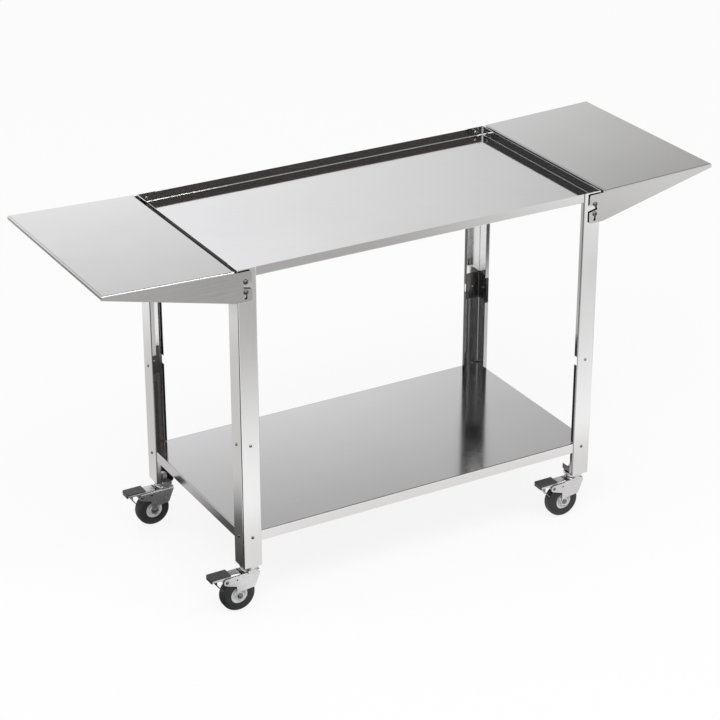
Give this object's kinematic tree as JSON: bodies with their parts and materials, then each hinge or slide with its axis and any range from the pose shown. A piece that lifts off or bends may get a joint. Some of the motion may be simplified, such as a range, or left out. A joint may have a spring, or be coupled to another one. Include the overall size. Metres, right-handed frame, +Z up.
{
  "type": "grill cart",
  "caption": "Stainless grill cart: shallow tray on angle legs with a lower shelf, fold-down side shelves at both ends and braked swivel casters.",
  "frame": {"origin": "on the floor under the middle of the cart: bottom centre of its box", "axes": "+Z up, +X along the cart from the left side shelf to the right one, -Y the front that the picture shows"},
  "size_m": [1.499, 0.5022, 0.8195],
  "materials": {
    "tray_steel": "fine brushed, nearly polished",
    "lower_steel": "fine brushed",
    "shelf_steel": "fine brushed",
    "leg_steel": "fine brushed, nearly polished",
    "inner_steel": "plain mill finish",
    "bolt_steel": "bright turned",
    "zinc_plate": "bright zinc plate",
    "pad_black": "moulded black plastic, satin",
    "hub_grey": "light grey moulded plastic",
    "tyre_rubber": "matt black rubber"
  },
  "bodies": {
    "frame": {"leg_front_left": "leg_steel", "foot_plate_front_left": "inner_steel", "corner_plate_front_left": "inner_steel", "leg_front_right": "leg_steel", "foot_plate_front_right": "inner_steel", "corner_plate_front_right": "inner_steel", "leg_back_left": "leg_steel", "foot_plate_back_left": "inner_steel", "corner_plate_back_left": "inner_steel", "leg_back_right": "leg_steel", "foot_plate_back_right": "inner_steel", "corner_plate_back_right": "inner_steel", "top_tray": "tray_steel", "lower_shelf": "lower_steel", "tray_screws": "bolt_steel", "corner_plate_screws": "bolt_steel", "lower_shelf_screws": "bolt_steel", "shelf_bolts": "bolt_steel", "shelf_bolt_nuts": "bolt_steel", "hook_sleeves": "bolt_steel", "caster_bolts": "zinc_plate", "caster_nuts": "zinc_plate", "caster_upper_races": "zinc_plate"},
    "left_pivot": {"left_pivot_sleeves": "bolt_steel"},
    "left_shelf": {"left_side_shelf": "shelf_steel"},
    "right_pivot": {"right_pivot_sleeves": "bolt_steel"},
    "right_shelf": {"right_side_shelf": "shelf_steel"},
    "front_left_fork": {"fork_front_left": "zinc_plate", "axle_front_left": "bolt_steel", "pedal_pin_front_left": "bolt_steel"},
    "front_left_wheel": {"hub_front_left": "hub_grey", "tyre_front_left": "tyre_rubber"},
    "front_left_brake": {"pedal_front_left": "zinc_plate", "pedal_pad_front_left": "pad_black", "brake_spring_front_left": "zinc_plate"},
    "front_right_fork": {"fork_front_right": "zinc_plate", "axle_front_right": "bolt_steel", "pedal_pin_front_right": "bolt_steel"},
    "front_right_wheel": {"hub_front_right": "hub_grey", "tyre_front_right": "tyre_rubber"},
    "front_right_brake": {"pedal_front_right": "zinc_plate", "pedal_pad_front_right": "pad_black", "brake_spring_front_right": "zinc_plate"},
    "back_left_fork": {"fork_back_left": "zinc_plate", "axle_back_left": "bolt_steel", "pedal_pin_back_left": "bolt_steel"},
    "back_left_wheel": {"hub_back_left": "hub_grey", "tyre_back_left": "tyre_rubber"},
    "back_left_brake": {"pedal_back_left": "zinc_plate", "pedal_pad_back_left": "pad_black", "brake_spring_back_left": "zinc_plate"},
    "back_right_fork": {"fork_back_right": "zinc_plate", "axle_back_right": "bolt_steel", "pedal_pin_back_right": "bolt_steel"},
    "back_right_wheel": {"hub_back_right": "hub_grey", "tyre_back_right": "tyre_rubber"},
    "back_right_brake": {"pedal_back_right": "zinc_plate", "pedal_pad_back_right": "pad_black", "brake_spring_back_right": "zinc_plate"}
  },
  "joints": [
    {"name": "left_shelf_fold", "type": "hinge", "parent": "frame", "child": "left_pivot", "pos_m": [-0.432, 0, 0.76], "axis": [0, -1, 0], "range_deg": [0, 90]},
    {"name": "left_shelf_lift", "type": "slide", "parent": "left_pivot", "child": "left_shelf", "axis": [0, 0, 1], "range_m": [0, 0.013]},
    {"name": "right_shelf_fold", "type": "hinge", "parent": "frame", "child": "right_pivot", "pos_m": [0.432, 0, 0.76], "axis": [0, 1, 0], "range_deg": [0, 90]},
    {"name": "right_shelf_lift", "type": "slide", "parent": "right_pivot", "child": "right_shelf", "axis": [0, 0, 1], "range_m": [0, 0.013]},
    {"name": "front_left_swivel", "type": "hinge", "parent": "frame", "child": "front_left_fork", "pos_m": [-0.425, -0.218, 0.095], "axis": [0, 0, 1], "continuous": true},
    {"name": "front_left_wheel_spin", "type": "hinge", "parent": "front_left_fork", "child": "front_left_wheel", "pos_m": [-0.457, -0.218, 0.04], "axis": [0, 1, 0], "continuous": true},
    {"name": "front_left_brake_press", "type": "hinge", "parent": "front_left_fork", "child": "front_left_brake", "pos_m": [-0.487, -0.218, 0.081], "axis": [0, -1, 0], "range_deg": [0, 10]},
    {"name": "front_right_swivel", "type": "hinge", "parent": "frame", "child": "front_right_fork", "pos_m": [0.425, -0.218, 0.095], "axis": [0, 0, 1], "continuous": true},
    {"name": "front_right_wheel_spin", "type": "hinge", "parent": "front_right_fork", "child": "front_right_wheel", "pos_m": [0.393, -0.218, 0.04], "axis": [0, 1, 0], "continuous": true},
    {"name": "front_right_brake_press", "type": "hinge", "parent": "front_right_fork", "child": "front_right_brake", "pos_m": [0.363, -0.218, 0.081], "axis": [0, -1, 0], "range_deg": [0, 10]},
    {"name": "back_left_swivel", "type": "hinge", "parent": "frame", "child": "back_left_fork", "pos_m": [-0.425, 0.218, 0.095], "axis": [0, 0, 1], "continuous": true},
    {"name": "back_left_wheel_spin", "type": "hinge", "parent": "back_left_fork", "child": "back_left_wheel", "pos_m": [-0.457, 0.218, 0.04], "axis": [0, 1, 0], "continuous": true},
    {"name": "back_left_brake_press", "type": "hinge", "parent": "back_left_fork", "child": "back_left_brake", "pos_m": [-0.487, 0.218, 0.081], "axis": [0, -1, 0], "range_deg": [0, 10]},
    {"name": "back_right_swivel", "type": "hinge", "parent": "frame", "child": "back_right_fork", "pos_m": [0.425, 0.218, 0.095], "axis": [0, 0, 1], "continuous": true},
    {"name": "back_right_wheel_spin", "type": "hinge", "parent": "back_right_fork", "child": "back_right_wheel", "pos_m": [0.393, 0.218, 0.04], "axis": [0, 1, 0], "continuous": true},
    {"name": "back_right_brake_press", "type": "hinge", "parent": "back_right_fork", "child": "back_right_brake", "pos_m": [0.363, 0.218, 0.081], "axis": [0, -1, 0], "range_deg": [0, 10]}
  ],
  "couplings": [
    {"joint": "left_shelf_lift", "follows": "left_shelf_fold", "m_per_rad": 0.008276},
    {"joint": "right_shelf_lift", "follows": "right_shelf_fold", "m_per_rad": 0.008276}
  ]
}
